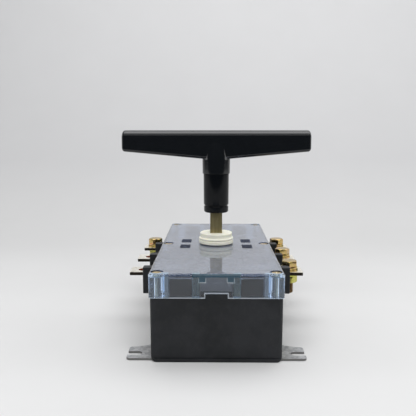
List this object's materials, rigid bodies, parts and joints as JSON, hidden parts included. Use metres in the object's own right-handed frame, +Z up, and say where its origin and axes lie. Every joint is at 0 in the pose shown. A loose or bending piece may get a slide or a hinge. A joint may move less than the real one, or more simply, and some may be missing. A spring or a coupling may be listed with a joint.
{
  "type": "manual transfer switch",
  "caption": "Long dark base under a clear screwed cover, flat terminals along both sides, slotted mounting ears, and a T-handle on a square shaft that turns and lifts off.",
  "frame": {"origin": "centre of the base's underside, under the shaft", "axes": "+Z up along the shaft, the length along Y with source 1 at -Y, terminals out along X; the grip lies along X at the off position"},
  "size_m": [0.186, 0.242, 0.1884],
  "materials": {
    "base_moulding": "satin dark grey moulded plastic",
    "clear_cover": "clear bluish polycarbonate",
    "brass_screws": "yellow-zinc plated",
    "label_ink": "dark blue printed pad",
    "galvanised_steel": "galvanised sheet",
    "zinc_screws": "zinc plated",
    "tinned_copper": "tinned copper",
    "yellow_zinc": "yellow-zinc plated",
    "bronze": "plain bronze",
    "bright_steel": "ground steel",
    "spring_steel": "spring steel",
    "shaft_steel": "olive yellow-zinc plated steel",
    "sintered_steel": "sintered steel",
    "ivory_plastic": "ivory moulded plastic",
    "brown_phenolic": "brown phenolic moulding",
    "bare_copper": "bare copper",
    "black_bakelite": "glossy black phenolic",
    "black_sleeve": "black insulating plastic",
    "socket_steel": "bare steel"
  },
  "bodies": {
    "housing": {"base": "base_moulding", "cover": "clear_cover", "cover_screws": "brass_screws", "position_labels": "label_ink", "front_mounting_strap": "galvanised_steel", "rear_mounting_strap": "galvanised_steel", "strap_screws": "zinc_screws", "source_1_bar_left": "tinned_copper", "load_bar_left": "tinned_copper", "source_2_bar_left": "tinned_copper", "source_1_bar_right": "tinned_copper", "load_bar_right": "tinned_copper", "source_2_bar_right": "tinned_copper", "bar_fixing_screws": "zinc_screws", "terminal_bolts": "yellow_zinc", "terminal_spring_washers": "yellow_zinc", "terminal_flat_washers": "yellow_zinc", "terminal_nuts": "yellow_zinc", "terminal_barriers": "base_moulding", "shaft_bush": "bronze", "guide_rods": "bright_steel", "rod_clamps": "bright_steel", "rod_clamp_screws": "zinc_screws", "left_detent_spring": "spring_steel", "right_detent_spring": "spring_steel", "detent_spring_screws": "zinc_screws"},
    "drive": {"operating_shaft": "shaft_steel", "shaft_washer": "bright_steel", "detent_cam": "sintered_steel", "drive_pinion": "sintered_steel", "pinion_pin": "bronze", "spacer_sleeve": "bright_steel", "position_dial": "ivory_plastic"},
    "carriage": {"contact_carriage": "brown_phenolic", "drive_rack": "sintered_steel", "rack_screws": "zinc_screws", "upper_contact_strips": "bare_copper", "lower_contact_strips": "bare_copper", "contact_springs": "spring_steel", "contact_guide_pins": "bronze"},
    "handle": {"handle_grip": "black_bakelite", "handle_sleeve": "black_sleeve", "handle_socket": "socket_steel"}
  },
  "joints": [
    {"name": "drive_turn", "type": "hinge", "parent": "housing", "child": "drive", "pos_m": [0, 0, 0.08], "axis": [0, 0, 1], "range_deg": [-90, 90], "deforming": ["left_detent_spring", "right_detent_spring"]},
    {"name": "carriage_slide", "type": "slide", "parent": "housing", "child": "carriage", "axis": [0, 1, 0], "range_m": [-0.0283, 0.0283]},
    {"name": "handle_pull", "type": "slide", "parent": "drive", "child": "handle", "axis": [0, 0, 1], "range_m": [0, 0.05]}
  ],
  "couplings": [
    {"joint": "carriage_slide", "follows": "drive_turn", "m_per_rad": 0.018}
  ]
}
